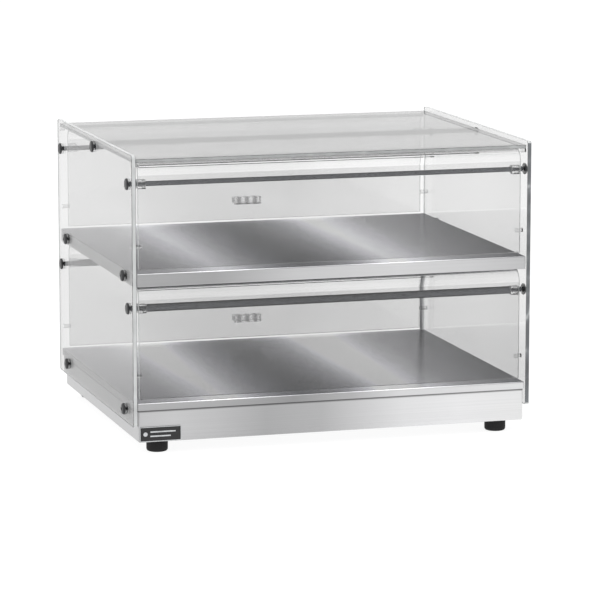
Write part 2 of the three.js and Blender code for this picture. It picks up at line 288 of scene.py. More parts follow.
def startMaterial(name):
    material = bpy.data.materials.new(name)
    material.use_nodes = True
    tree = material.node_tree
    tree.nodes.clear()
    return material, tree, addNode(tree, "TexCoord").outputs["Object"]


def endMaterial(material, shader):
    addNode(material.node_tree, "OutputMaterial", inputs={"Surface": shader})
    return material


def repeats(size):
    # even repeats per metre of a pattern of this size in mm
    return [1 / (size * mm)] * 3


def stretchedNoise(tree, place, scale, detail=2.0, roughness=0.5):
    # noise with its own scale along X, Y and Z, in repeats per metre
    mapped = addNode(tree, "Mapping", inputs={"Vector": place, "Scale": scale})
    return addNode(tree, "TexNoise", inputs={
        "Vector": mapped, "Scale": 1.0, "Detail": detail, "Roughness": roughness})


def ramped(tree, value, low, high, stops):
    # grey or coloured stops spread from low to high, in metres
    share = addNode(tree, "MapRange", inputs={"Value": value, "From Min": low, "From Max": high})
    return addNode(tree, "ValToRGB", inputs={"Fac": share}, stops=stops)


def addSurface(tree, colour, rough, relief, more=None):
    # rough is a pattern and the two ends of its roughness; relief is a pattern, its strength and depth in mm
    pattern, low, high = rough
    height, strength, depth = relief
    return addNode(tree, "BsdfPrincipled", inputs={
        "Base Color": colour,
        "Roughness": addNode(tree, "MapRange", inputs={"Value": pattern, "To Min": low, "To Max": high}),
        "Normal": addNode(tree, "Bump", inputs={"Height": height, "Strength": strength, "Distance": depth * mm}),
        **(more or {})})


# ---------- stage ----------
stage = {
    "cameraPlace": (-1.21534, -4.12434, 0.87171),
    "cameraTilt": 80.3924,        # degrees up from looking straight down
    "cameraTurn": -16.63,
    "lens": 207.86,
    "floorHalf": 30,
    "floorGlow": 0.8,             # share of the floor that glows by itself, which thins its shadows
    "floorLevel": 1.12,
    "worldLevel": 1.0,
    "worldTones": [(0.0, "#ffffff"), (0.05, "#ffffff"), (0.11, "#f2f2f2"), (0.3, "#eeeeee"), (0.7, "#f6f6f6"),
                   (1.0, "#ffffff")],
    # softboxes: place, aim, width and depth, power
    "softboxOver": ((0, -0.2, 3.2), (0, 0, 0), (3.0, 2.4), 34),
    "softboxLeft": ((-3.4, -1.6, 1.9), (0, 0, 0.15), (1.4, 1.8), 20),
    "softboxRight": ((3.2, -1.8, 2.2), (0, 0, 0.15), (1.4, 1.8), 16),
}

deselectAll()
bpy.ops.object.camera_add(location=stage["cameraPlace"],
                          rotation=(math.radians(stage["cameraTilt"]), 0, math.radians(stage["cameraTurn"])))
camera = bpy.context.object
camera.name = "studioCamera"
camera.data.lens = stage["lens"]
camera.data.sensor_width = 36
bpy.context.scene.camera = camera
bpy.context.scene.view_settings.view_transform = "Standard"


def addSoftbox(name, place, aim, size, power):
    deselectAll()
    place, aim = Vector(place), Vector(aim)
    turn = (aim - place).to_track_quat("-Z", "Y").to_euler()
    bpy.ops.object.light_add(type="AREA", location=place, rotation=turn)
    lamp = bpy.context.object
    lamp.name = name
    lamp.data.shape = "RECTANGLE"
    lamp.data.size, lamp.data.size_y = size
    lamp.data.energy = power
    lamp.visible_camera = False
    lamp.visible_transmission = False


for name in ("softboxOver", "softboxLeft", "softboxRight"):
    addSoftbox(name, *stage[name])


def makeWorld():
    world = bpy.data.worlds.new("studio")
    world.use_nodes = True
    tree = world.node_tree
    tree.nodes.clear()
    place = addNode(tree, "TexCoord").outputs["Generated"]
    height = addNode(tree, "SeparateXYZ", inputs={"Vector": place}).outputs["Z"]
    tone = addNode(tree, "ValToRGB", inputs={"Fac": height}, stops=stage["worldTones"])
    glow = addNode(tree, "Background", inputs={"Color": tone, "Strength": stage["worldLevel"]})
    addNode(tree, "OutputWorld", inputs={"Surface": glow})
    bpy.context.scene.world = world


def makeFloor():
    deselectAll()
    bpy.ops.mesh.primitive_plane_add(size=2 * stage["floorHalf"])
    floor = nameNew("studioFloor")
    material, tree = startMaterial("White studio paper")[:2]
    paper = addNode(tree, "BsdfDiffuse", inputs={"Color": hexColour("#f9f9f9")})
    glow = addNode(tree, "Emission", inputs={"Strength": stage["floorLevel"]})
    both = addNode(tree, "MixShader", inputs={"Fac": stage["floorGlow"], 1: paper, 2: glow})
    floor.data.materials.append(endMaterial(material, both))


makeWorld()
makeFloor()
print("stage set")


# ---------- finishes ----------
acrylic = {
    # painted shade along the case: how dark a sheet reads over the width, as grey stops
    "along": [(0.02, "#ebebeb"), (0.2, "#e7e7e7"), (0.4, "#e0e0e0"), (0.5, "#e1e1e1"), (0.62, "#e4e4e4"),
              (0.72, "#ececec"), (0.9, "#efefef"), (0.98, "#ebebeb")],
    # and from the ground up: the lower tier stands in more of its own shade
    "upwards": [(0.45, "#f3f3f3"), (0.66, "#ffffff")],
    "roof": [(0.0, "#bcbcbc"), (0.5, "#b2b2b2"), (1.0, "#bebebe")],
    "side": [(0.0, "#e0e0e0"), (0.5, "#e3e3e3"), (1.0, "#eaeaea")],
    "bend": [(0.0, "#ffffff"), (1.0, "#ffffff")],
    # painted shade: three dark bars across a pull, clear between them
    "pull": [(0.1, "#f6f6f6"), (0.2, "#6e6e6e"), (0.3, "#ffffff"), (0.41, "#ffffff"), (0.5, "#626262"),
             (0.59, "#ffffff"), (0.7, "#ffffff"), (0.8, "#6e6e6e"), (0.9, "#f6f6f6")],
    "index": 1.49,
    "sideIndex": 1.2,
    "pullReach": 0.018,       # half a pull's width, in metres
    "lampTint": "#eceded",
    "waviness": 60,           # mm, from rolling and heat bending
    "haze": 25,               # mm, patches of fine wiping marks
    "edgeBreaks": 22,         # mm between the soft light breaks, painted highlights, along a cut edge
    "sawMarks": 1.5,          # mm, drawn coarser than the real 0.3 so that they show
}
steel = {
    # painted reflection: light and dark bands over the width of the shelf and the deck
    "paintedReflectionBands": [
        (0.02, "#b6b6b8"), (0.10, "#c2c2c4"), (0.14, "#d0d0d2"), (0.18, "#e2e2e5"), (0.22, "#f2f2f5"),
        (0.26, "#e2e2e5"), (0.30, "#c8c8cb"), (0.34, "#b0b0b3"), (0.38, "#9d9da0"), (0.42, "#929294"),
        (0.46, "#959597"), (0.50, "#a2a2a4"), (0.54, "#b2b2b5"), (0.58, "#cacacd"), (0.62, "#e8e8eb"),
        (0.66, "#fdfdff"), (0.70, "#f0f0f3"), (0.74, "#dcdcdf"), (0.78, "#c9c9cb"), (0.82, "#b8b8ba"),
        (0.86, "#adadaf"), (0.90, "#a5a5a7"), (0.94, "#99999b"), (0.98, "#929294")],
    # start and end along Y, and what is added there: painted light, so that the bands brighten towards the back of
    # the floor, and in front of the flap's foot, where the floor is seen bare
    "lift": (-0.2, 0.19, -0.05, 0.1),
    "strip": (-0.177, -0.17, 0.13, 0.0),
    # the base's walls: a painted reflection, light grey, a little darker towards the middle left
    "walls": [
        (0.0, "#bcbcbd"), (0.1, "#c2c2c3"), (0.2, "#bababb"), (0.33, "#a8a8a9"), (0.47, "#b0b0b1"),
        (0.54, "#c0c0c1"), (0.68, "#dadadb"), (0.82, "#e2e2e3"), (1.0, "#dedede")],
    # the folded lips catch the room at another height than the walls
    "shelfLip": [
        (0.0, "#a6a6a7"), (0.2, "#a2a2a3"), (0.4, "#c2c2c3"), (0.66, "#cececf"), (0.85, "#c6c6c7"),
        (1.0, "#bababb")],
    "deckLip": [
        (0.0, "#acacad"), (0.2, "#aaaaab"), (0.4, "#949495"), (0.55, "#b0b0b1"), (0.66, "#d0d0d1"),
        (1.0, "#d8d8d9")],
    "lipShade": (0.051, 0.0545),  # heights between which the shade under the deck's lip comes in
}
toneHalf, toneHeight = 0.25, 0.36     # what the tones along and up the case are spread over, in metres


def makeClearAcrylic(name, along, reach=toneHalf, ior=acrylic["index"]):
    # cast acrylic sheet: neutral light grey in depth with painted shade along and up the case, faintly wavy, with
    # a trace of wiping haze
    material, tree, place = startMaterial(name)
    axes = addNode(tree, "SeparateXYZ", inputs={"Vector": place}).outputs
    wave = stretchedNoise(tree, place, repeats(acrylic["waviness"]), 1.0)
    haze = stretchedNoise(tree, place, repeats(acrylic["haze"]), 4.0)
    # the sheet's grey carries painted shade, over the width and from the ground up
    tintAndShade = addNode(tree, "VectorMath", {"operation": "MULTIPLY"}, {
        0: ramped(tree, axes["X"], -reach, reach, along),
        1: ramped(tree, axes["Z"], 0.0, toneHeight, acrylic["upwards"])})
    sheet = addSurface(tree, tintAndShade, (haze, 0.0, 0.03), (wave, 0.2, 0.4), {"IOR": ior, "Transmission Weight": 1.0})
    # lamps shine straight through, so that the sheets throw no hard shadows
    lamps = addNode(tree, "BsdfTransparent", inputs={"Color": hexColour(acrylic["lampTint"])})
    path = addNode(tree, "LightPath").outputs["Is Shadow Ray"]
    return endMaterial(material, addNode(tree, "MixShader", inputs={"Fac": path, 1: sheet, 2: lamps}))


def makeCutAcrylic(name, tones, transmission):
    # the sheet's sawn and flame-polished edge, painted grey with painted soft light breaks, and faint saw marks
    material, tree, place = startMaterial(name)
    breaks = stretchedNoise(tree, place, repeats(acrylic["edgeBreaks"]), 2.0)
    marks = stretchedNoise(tree, place, repeats(acrylic["sawMarks"]), 2.0)
    tone = addNode(tree, "ValToRGB", inputs={"Fac": breaks}, stops=list(zip((0.3, 0.5, 0.62, 0.74), tones)))
    return endMaterial(material, addSurface(tree, tone, (marks, 0.12, 0.3), (marks, 0.15, 0.1), {
        "IOR": acrylic["index"], "Transmission Weight": transmission}))


def makeFloorSteel(name, gain):
    # mirror-rolled stainless sheet with a painted reflection: long soft light and dark bands run back from the
    # customer's side
    material, tree, place = startMaterial(name)
    axes = addNode(tree, "SeparateXYZ", inputs={"Vector": place}).outputs
    paintedReflectionBands = ramped(tree, axes["X"], -toneHalf, toneHalf, steel["paintedReflectionBands"])
    lift, strip = (addNode(tree, "MapRange", inputs={
        "Value": axes["Y"], "From Min": start, "From Max": end, "To Min": low, "To Max": high})
        for start, end, low, high in (steel["lift"], steel["strip"]))
    lifted = addNode(tree, "Math", {"operation": "ADD"}, {0: lift, 1: strip})
    grain = stretchedNoise(tree, place, (900, 6, 6), 3.0)
    level = addNode(tree, "MapRange", inputs={"Value": grain, "To Min": 0.94 * gain, "To Max": 1.06 * gain})
    scaled = addNode(tree, "VectorMath", {"operation": "SCALE"}, {0: paintedReflectionBands, "Scale": level})
    colour = addNode(tree, "VectorMath", {"operation": "ADD"}, {0: scaled, 1: lifted})
    smears = stretchedNoise(tree, place, (14, 9, 9), 3.0)
    # the tint at grazing angles keeps the painted dark bands dark from low down too
    return endMaterial(material, addSurface(tree, colour, (smears, 0.16, 0.28), (grain, 0.05, 0.05), {
        "Metallic": 1.0, "Specular Tint": colour}))


def makeBrushedSheet(name, tones, lipShade="#ffffff"):
    # stainless sheet brushed along the case, its tone along it a painted reflection; the last argument is the
    # painted shade just under the deck's lip
    material, tree, place = startMaterial(name)
    axes = addNode(tree, "SeparateXYZ", inputs={"Vector": place}).outputs
    lipShadeStops = [(0.0, "#ffffff"), (0.5, lipShade), (1.0, lipShade)]
    tone = addNode(tree, "VectorMath", {"operation": "MULTIPLY"}, {
        0: ramped(tree, axes["X"], -toneHalf, toneHalf, tones),
        1: ramped(tree, axes["Z"], *steel["lipShade"], lipShadeStops)})
    # brush lines 1.4 mm apart, coarser than real so that they show
    grain = stretchedNoise(tree, place, (3, 700, 700), 3.0, 0.6)
    level = addNode(tree, "MapRange", inputs={"Value": grain, "To Min": 0.88, "To Max": 1.1})
    colour = addNode(tree, "VectorMath", {"operation": "SCALE"}, {0: tone, "Scale": level})
    return endMaterial(material, addSurface(tree, colour, (grain, 0.26, 0.42), (grain, 0.12, 0.05), {
        "Metallic": 1.0}))


def makeTonedSteel(name, dark, light, scale, roughness, depth):
    # a stainless part whose grain runs one way; dark and light are the ends of its tone
    material, tree, place = startMaterial(name)
    grain = stretchedNoise(tree, place, scale, 3.0, 0.6)
    tone = addNode(tree, "ValToRGB", inputs={"Fac": grain}, stops=[(0.3, dark), (0.7, light)])
    rough = (grain, roughness - 0.05, roughness + 0.08)
    return endMaterial(material, addSurface(tree, tone, rough, (grain, 0.1, depth), {"Metallic": 1.0}))


def makeMoulded(name, dark, light, grit, roughness, depth, transmission=0.0):
    # a moulded part: one colour with slow drift, and a fine pitted skin of the given grit in mm
    material, tree, place = startMaterial(name)
    drift = stretchedNoise(tree, place, repeats(12 * grit), 2.0)
    skin = stretchedNoise(tree, place, repeats(grit), 3.0)
    tone = addNode(tree, "ValToRGB", inputs={"Fac": drift}, stops=[(0.3, dark), (0.7, light)])
    rough = (drift, roughness - 0.06, roughness + 0.06)
    return endMaterial(material, addSurface(tree, tone, rough, (skin, 0.25, depth), {
        "Transmission Weight": transmission}))


def makeHeaterMat():
    # silicone rubber over glass cloth: a brick-red skin with the weave pressed through it
    material, tree, place = startMaterial("Silicone heater mat")
    pitch = 4      # mm between threads, drawn coarser than the real 0.5 so that it shows
    waves = [addNode(tree, "TexWave", {"bands_direction": way},
                     {"Vector": place, "Scale": 0.314 / (pitch * mm), "Distortion": 0.3}).outputs["Fac"]
             for way in ("X", "Y")]
    weave = addNode(tree, "Math", {"operation": "MULTIPLY"}, {0: waves[0], 1: waves[1]})
    return endMaterial(material, addNode(tree, "BsdfPrincipled", inputs={
        "Base Color": addNode(tree, "ValToRGB", inputs={"Fac": weave}, stops=[(0.0, "#8c3c20"), (1.0, "#b9552f")]),
        "Roughness": 0.7,
        "Normal": addNode(tree, "Bump", inputs={"Height": weave, "Strength": 0.4, "Distance": 0.2 * mm}),
    }))


clearAcrylic = makeClearAcrylic("Cast acrylic sheet", acrylic["along"])
# the side panels mirror less than bare sheet, so that the floors show through at a low angle; their grey stops are
# painted shade, the left panel a little darker than the right
sideAcrylic = makeClearAcrylic("Cast acrylic sheet, side", acrylic["side"], ior=acrylic["sideIndex"])
# the roof is painted greyer, painted shade for how it reads seen edge-on, through more of the sheet
roofAcrylic = makeClearAcrylic("Cast acrylic sheet, roof", acrylic["roof"])
# the bend carries none of the painted shade of the flap's flat, so it is the clearest stretch of a flap
bendAcrylic = makeClearAcrylic("Cast acrylic sheet, bend", acrylic["bend"])
# painted shade: three soft dark bars across each pull, standing in for the dark bands a clear pull shows
pullAcrylic = makeClearAcrylic("Cast acrylic, ribbed pull", acrylic["pull"], acrylic["pullReach"])
# edges: painted greyer than the faces, with painted light breaks; the right panel's front edge is painted darker
# still, a painted reflection of the dark side of the room
cutAcrylic = makeCutAcrylic("Acrylic, flame-polished edge", ("#d0d2d2", "#dadcdc", "#e2e4e4", "#f2f4f4"), 0.25)
# the roof's edges are painted in greys that melt into its own painted grey
roofCutAcrylic = makeCutAcrylic("Acrylic, edge of the roof", ("#b4b6b6", "#bcbebe", "#c6c8c8", "#d4d6d6"), 0.35)
darkCutAcrylic = makeCutAcrylic("Acrylic, edge in shade", ("#5f6163", "#6c6f72", "#7c7f82", "#c9cccc"), 0.15)
shelfSteel = makeFloorSteel("Stainless sheet, mirror rolled", 1.0)
# the deck is seen through the greyer foot of the lower flap, so its painted reflection bands are painted a little
# brighter
deckSteel = makeFloorSteel("Stainless sheet, mirror rolled, deck", 1.2)
# long brush lines that draw the light out along the case
# the walls' tones are a painted reflection, and the grey just under the deck's lip is painted shade
housingSteel = makeBrushedSheet("Stainless sheet, long brushed", steel["walls"], "#8c8c8c")
shelfLipSteel = makeBrushedSheet("Stainless sheet, shelf lip", steel["shelfLip"])
deckLipSteel = makeBrushedSheet("Stainless sheet, deck lip", steel["deckLip"])
# centreless-ground bar: fine rings round it; painted fairly dark, a painted reflection of the room's dark parts
rodSteel = makeTonedSteel("Stainless bar, ground", "#4c4e52", "#6c6e72", (1500, 60, 60), 0.2, 0.02)
# mill sheet of the hidden plates: dull, lightly streaked
millSteel = makeTonedSteel("Stainless sheet, mill finish", "#98999b", "#b9babc", (8, 240, 240), 0.42, 0.03)
tubeSteel = makeTonedSteel("Stainless tube, drawn", "#8d8e90", "#b0b1b3", (400, 400, 8), 0.3, 0.02)
spindleSteel = makeTonedSteel("Nickel-plated spindle", "#85878a", "#a2a4a7", (300, 300, 300), 0.35, 0.02)
# moulded and blackened parts: near black, their fine pitted skin gives one soft highlight
capPlastic = makeMoulded("Nylon, moulded black", "#151617", "#222325", 0.6, 0.34, 0.04)
screwBlack = makeMoulded("Steel screw, black oxide", "#191a1b", "#2a2b2d", 0.5, 0.3, 0.03)
# rubber drinks the light and shows hardly any highlight
footRubber = makeMoulded("Rubber, moulded", "#070708", "#0f0f10", 0.8, 0.8, 0.08)
controlBlack = makeMoulded("ABS, moulded black", "#161718", "#232426", 0.5, 0.4, 0.03)
# anodised plate and ink marks: thin, even films with a satin sheen
badgeBlack = makeMoulded("Anodised plate, black", "#121213", "#1c1c1e", 0.4, 0.3, 0.02)
badgeLight = makeMoulded("Anodised plate, bare", "#b7b9bb", "#cfd1d3", 0.4, 0.3, 0.02)
markWhite = makeMoulded("Marking ink, white", "#d9d9d6", "#ececea", 0.5, 0.5, 0.01)
markBlack = makeMoulded("Marking ink, black", "#1a1a1b", "#27272a", 0.5, 0.5, 0.01)
# a glossy lens that lets some light into its depth
amberLens = makeMoulded("Polycarbonate lens, amber", "#c8680f", "#e08a2c", 1.0, 0.14, 0.03, 0.55)
# inner parts: dull mouldings, soft lead sheaths and bare copper
casingPlastic = makeMoulded("Phenolic casing, ivory", "#c9c4b4", "#dbd7c9", 0.9, 0.55, 0.05)
terminalPlastic = makeMoulded("Nylon terminal block", "#dedbd0", "#eeebe2", 0.7, 0.45, 0.03)
leadDark = makeMoulded("PVC lead, dark", "#232325", "#35302c", 0.8, 0.5, 0.03)
leadGrey = makeMoulded("Silicone lead, grey", "#a5a5a1", "#bdbdb9", 0.8, 0.55, 0.03)
copper = makeMoulded("Copper bulb and capillary", "#9c5a3a", "#bf7a55", 0.9, 0.35, 0.02)
heaterMat = makeHeaterMat()
print("finishes made")


# ---------- clear side panels ----------
sidePanel = {
    "thickness": 5,
    "corner": 4,
    "boreRadius": 3.3,
    "screwHole": 2.3,
    "pegRadius": 2.5,
    "stopPeg": {"out": 3.7, "up": 30, "reach": 9.5},    # from the rod's axis and the tier's floor
    "roofPeg": {"out": 12, "under": 2.8, "reach": 6},   # from the rod's axis and the roof's underside
    "edge": 0.4,
    "rim": 3,                 # faces this close to the outline are cut faces
}
rodNames = ("front_upper", "front_lower", "rear_upper", "rear_lower", "roof")
screwNames = ("shelf_front", "shelf_rear", "base_front", "base_rear")
tierFloors = {"upper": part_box("shelf_pan")[1].z, "lower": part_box("deck_plate")[1].z}
outwards = {"front": -1, "rear": 1}
sides = {"left": -1, "right": 1}
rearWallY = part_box("base_housing")[1].y


def buildSidePanels():
    low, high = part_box("side_panel_left")
    inner = low.x + sidePanel["thickness"] * mm
    panel = addBlock("sidePanelLeft", low, (inner, high.y, high.z))
    editMode(panel)
    bevelEdges(panel, lambda middle, way: abs(way.x) > 0.9, sidePanel["corner"], 8)
    goToObjectMode()

    pegs = []
    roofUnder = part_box("roof_panel")[0].z
    stop, hold = sidePanel["stopPeg"], sidePanel["roofPeg"]
    for face, outward in outwards.items():
        for tier, floorZ in tierFloors.items():
            axis = middleOf(f"rod_{face}_{tier}")
            pegs.append((axis.y + outward * stop["out"] * mm, floorZ + stop["up"] * mm, stop["reach"]))
        pegs.append((axis.y + outward * hold["out"] * mm, roofUnder - hold["under"] * mm, hold["reach"]))
    radius = sidePanel["pegRadius"] * mm
    combine(panel, [addBar("peg", radius, inner - mm, inner + reach * mm, Vector((0, y, z)), 24)
                    for y, z, reach in pegs], "UNION")

    holes = [(middleOf(f"rod_{name}"), sidePanel["boreRadius"]) for name in rodNames]
    holes += [(middleOf(f"screw_{name}_left"), sidePanel["screwHole"]) for name in screwNames]
    combine(panel, [addBar("hole", radius * mm, low.x - mm, inner + mm, spot) for spot, radius in holes])

    rim = sidePanel["rim"] * mm

    def isRim(middle, normal):
        inside = low.y + rim <= middle.y <= high.y - rim and low.z + rim <= middle.z <= high.z - rim
        return abs(normal.x) < 0.3 and not inside

    for piece in (panel, mirroredCopy(panel, "sidePanelRight")):
        softenEdges(piece, sidePanel["edge"])
        finishPiece(piece, "case", "clear_acrylic", [sideAcrylic, cutAcrylic, darkCutAcrylic],
                    piece.name.replace("sidePanel", "side_panel_").lower())
        paintFaces(piece, 1, isRim)
        # the right panel's front edge gets the painted dark reflection
        paintFaces(piece, 2, lambda middle, normal: normal.y < -0.9 and middle.x > 0 and middle.y < low.y + mm)


buildSidePanels()
print("side panels built")


# ---------- roof ----------
roof = {"corner": 2.5, "edge": 0.4}


def buildRoof():
    low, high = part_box("roof_panel")
    panel = addBlock("roofPanel", low, high)
    editMode(panel)
    bevelEdges(panel, lambda middle, way: abs(way.z) > 0.9, roof["corner"], 6)
    goToObjectMode()
    softenEdges(panel, roof["edge"])
    finishPiece(panel, "case", "clear_acrylic", [roofAcrylic, roofCutAcrylic], "roof_panel")
    paintFaces(panel, 1, lambda middle, normal: abs(normal.z) < 0.3)


buildRoof()
print("roof built")


# ---------- bent flaps ----------
flap = {
    "thickness": 4,
    "bendRadius": 16,
    "bendSteps": 14,
    "lugRadius": 5.4,
    "lugWidth": 10,
    "lugBond": 1,             # how far a lug goes into the sheet
    "web": 0.97,              # half the lug's web against its eye's radius
    "boreRadius": 3.3,
    "edge": 0.4,
}


def buildFlap(face, tier):
    outward = outwards[face]
    low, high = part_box(f"flap_{face}_{tier}")
    axis = middleOf(f"rod_{face}_{tier}")
    outerY = low.y if outward < 0 else high.y
    innerY = outerY - outward * flap["thickness"] * mm
    bendZ = high.z - flap["bendRadius"] * mm
    sheet = addBlock(f"flap{face.title()}{tier.title()}",
                     (low.x, min(outerY, innerY), low.z), (high.x, max(outerY, innerY), bendZ))
    editMode(sheet)
    pickFaces(sheet, lambda middle, normal: normal.z > 0.9)
    bpy.ops.mesh.spin(steps=flap["bendSteps"], angle=-outward * math.pi / 2, axis=(1, 0, 0),
                      center=(0, outerY - outward * flap["bendRadius"] * mm, bendZ))
    closeUp()
    goToObjectMode()

    lugs, bores = [], []
    width, radius = flap["lugWidth"] * mm, flap["lugRadius"] * mm
    bonded = innerY + outward * flap["lugBond"] * mm
    webHalf = flap["web"] * radius
    for left in (low.x, high.x - width):
        lug = addBlock("lug", (left, min(axis.y, bonded), axis.z - webHalf),
                       (left + width, max(axis.y, bonded), axis.z + webHalf))
        combine(lug, [addBar("eye", radius, left, left + width, axis, 36)], "UNION")
        lugs.append(lug)
        bores.append(addBar("bore", flap["boreRadius"] * mm, left - mm, left + width + mm, axis))
    combine(sheet, lugs, "UNION")
    combine(sheet, bores)
    softenEdges(sheet, flap["edge"])
    finishPiece(sheet, f"flap_{face}_{tier}", "clear_acrylic", [clearAcrylic, cutAcrylic, bendAcrylic],
                f"flap_{face}_{tier}")
    paintFaces(sheet, 2, lambda middle, normal: middle.z > bendZ and abs(normal.x) < 0.1)

    def isCut(middle, normal):
        onEnd = abs(normal.x) > 0.9 and abs(middle.x) > high.x - mm
        onLip = high.z - flap["thickness"] * mm < middle.z < high.z and normal.y * outward < -0.9
        return onEnd or onLip and abs(middle.x) < high.x - width - mm

    paintFaces(sheet, 1, isCut)


for face in outwards:
    for tier in tierFloors:
        buildFlap(face, tier)
print("flaps built")


# ---------- finger pulls ----------
pull = {
    "plateDepth": 3,
    # depth in mm and height against the step before; the last one ends at the node's outer face
    "steps": ((6, 0.55), (9, 1.0), (10.8, 1.5), (None, 1.0)),
    "round": 1.6,
    "edge": 0.5,
}


def buildPull(tier):
    low, high, middle = measured(f"pull_{tier}")
    reached = low.y + pull["plateDepth"] * mm
    piece = addBlock(f"pull{tier.title()}", low, (high.x, reached, high.z))
    editMode(piece)
    pickFaces(piece, lambda spot, normal: normal.y > 0.9)
    for depth, scale in pull["steps"]:
        target = low.y + depth * mm if depth else high.y
        bpy.ops.mesh.extrude_region_move(TRANSFORM_OT_translate={"value": (0, target - reached, 0)})
        bpy.ops.transform.resize(value=(1, 1, scale), center_override=(middle.x, target, middle.z))
        reached = target
    bevelEdges(piece, lambda spot, way: abs(way.x) > 0.9 and spot.y > high.y - 0.1 * mm, pull["round"], 5)
    goToObjectMode()
    softenEdges(piece, pull["edge"], 3)
    finishPiece(piece, f"flap_rear_{tier}", "clear_acrylic", [pullAcrylic, cutAcrylic], f"pull_{tier}")
    paintFaces(piece, 1, lambda spot, normal: abs(normal.x) > 0.9)


for tier in tierFloors:
    buildPull(tier)
print("pulls built")


# ---------- rods ----------
rod = {"round": 0.6, "holeRadius": 1.8, "holeDepth": 9.3}


def buildRods():
    for name in rodNames:
        low, high, middle = measured(f"rod_{name}")
        bar = addBar(f"rod{asName(name)}", (high.z - low.z) / 2, low.x, high.x, middle, 40)
        editMode(bar)
        bevelEdges(bar, lambda spot, way: abs(way.x) < 0.1, rod["round"], 2)
        goToObjectMode()
        depth = rod["holeDepth"] * mm
        combine(bar, [addBar("hole", rod["holeRadius"] * mm, end - depth, end + depth, middle, 24)
                      for end in (low.x, high.x)])
        smoothFaces(bar, 30)
        finishPiece(bar, "case", "rod_steel", [rodSteel], f"rod_{name}")


buildRods()
print("rods built")


# ---------- sleeves over the lower rods, between the flaps' lugs ----------
sleeve = {"bore": 3.3, "round": 0.5}


def buildSleeve(face):
    low, high, middle = measured(f"sleeve_{face}_lower")
    tube = addBar(f"sleeve{face.title()}Lower", (high.z - low.z) / 2, low.x, high.x, middle, 40)
    combine(tube, [addBar("bore", sleeve["bore"] * mm, low.x - mm, high.x + mm, middle)])
    editMode(tube)
    bore = (sleeve["bore"] + 0.5) * mm
    bevelEdges(tube, lambda spot, way: abs(way.x) < 0.1 and (spot - middle).yz.length > bore, sleeve["round"], 2)
    goToObjectMode()
    smoothFaces(tube, 30)
    finishPiece(tube, f"flap_{face}_lower", "rod_steel", [rodSteel], f"sleeve_{face}_lower")


for face in outwards:
    buildSleeve(face)
print("sleeves built")


# ---------- fasteners on the outside of the side panels ----------
rodCap = {                    # a thin disc with a spigot that goes into the rod's end
    "profile": [(0, -9), (1.2, -9), (1.5, -8.7), (1.5, 0), (6.6, 0), (7.0, 0.35), (7.0, 1.5), (6.7, 2.1),
                (6.0, 2.5), (5.1, 2.6), (4.8, 2.3), (3.4, 2.35), (3.1, 2.65), (1.4, 2.8), (0, 2.8)],
    "steps": 40,
}
screw = {                     # a button head with a hexagon socket
    "profile": [(0, -13), (1.4, -13), (2.0, -12.4), (2.0, 0), (6.7, 0), (7.0, 0.3), (7.0, 1.4), (6.6, 2.3),
                (5.6, 3.0), (4.2, 3.4), (3.0, 3.5), (0, 3.5)],
    "steps": 36,
    "socket": 2.3,            # hexagon's corner radius
    "socketDepth": 2.2,
}


def placeOutside(master, values, pieceName, nodeName, rows, material):
    # a copy at each row and side, its outer face where the node's is; then the master goes
    smoothFaces(master, 32)
    proud = values["profile"][-1][1] * mm
    for row in rows:
        for side, sign in sides.items():
            node = f"{nodeName}_{row}_{side}"
            low, high, middle = measured(node)
            outerX = high.x if sign > 0 else low.x
            copy = copyPiece(master, f"{pieceName}{asName(row)}{side.title()}")
            standAt(copy, (outerX - sign * proud, middle.y, middle.z), (sign, 0, 0))
            finishPiece(copy, "case", "black_fittings", [material], node)
    bpy.data.objects.remove(master)


def buildScrews():
    master = addTurned("screw", screw["profile"], screw["steps"])
    top = screw["profile"][-1][1] * mm
    combine(master, [addRound("socket", screw["socket"] * mm, (0, 0, top - screw["socketDepth"] * mm),
                              (0, 0, top + mm), 6)])
    placeOutside(master, screw, "screw", "screw", screwNames, screwBlack)


placeOutside(addTurned("rodCap", rodCap["profile"], rodCap["steps"]), rodCap,
             "rodCap", "rod_cap", rodNames, capPlastic)
print("rod caps built")
buildScrews()
print("screws built")


# ---------- folded shelf and deck ----------
tray = {"sheet": 1.2, "fold": 2.0, "screwHole": 2.3, "conduitGap": 0.3, "lip": 3, "edge": 0.2}


def foldTray(name, node, topSteel, lipSteel, holes):
    low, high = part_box(node)
    piece = addBlock(name, low, high)
    editMode(piece)
    pickFaces(piece, lambda middle, normal: normal.z < -0.9)
    bpy.ops.mesh.delete(type="FACE")
    bevelEdges(piece, lambda middle, way: middle.z > low.z + 0.5 * mm, tray["fold"], 5)
    closeUp()
    giveWall(piece, tray["sheet"])
    combine(piece, holes)
    softenEdges(piece, tray["edge"], 1, 60, 30)
    finishPiece(piece, "case", "polished_stainless", [topSteel, lipSteel], node)
    paintFaces(piece, 1, lambda middle, normal: abs(normal.z) < 0.35 or middle.z < high.z - tray["lip"] * mm)


def buildTrays():
    left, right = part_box("side_panel_left")[0].x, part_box("side_panel_right")[1].x
    foldTray("shelfPan", "shelf_pan", shelfSteel, shelfLipSteel, [
        addBar("hole", tray["screwHole"] * mm, left, right, middleOf(f"screw_{name}_left"), 24)
        for name in ("shelf_front", "shelf_rear")])
    low, high, middle = measured("shelf_conduit")
    foldTray("deckPlate", "deck_plate", deckSteel, deckLipSteel, [
        addRound("hole", (high.x - low.x) / 2 + tray["conduitGap"] * mm, (middle.x, middle.y, low.z),
                 (middle.x, middle.y, high.z), 24)])


buildTrays()
print("shelf and deck built")


# ---------- base housing ----------
housing = {
    "sheet": 1.2,
    "fold": 1.8,
    "flange": 10.8,
    "edge": 0.2,
    # openings in the rear wall: radii for the round ones, width and height for the switch
    "thermostat_knob": 3.6,
    "pilot_lamp": 4.3,
    "cord_gland": 6.4,
    "switchHole": (13.4, 19.4),
}


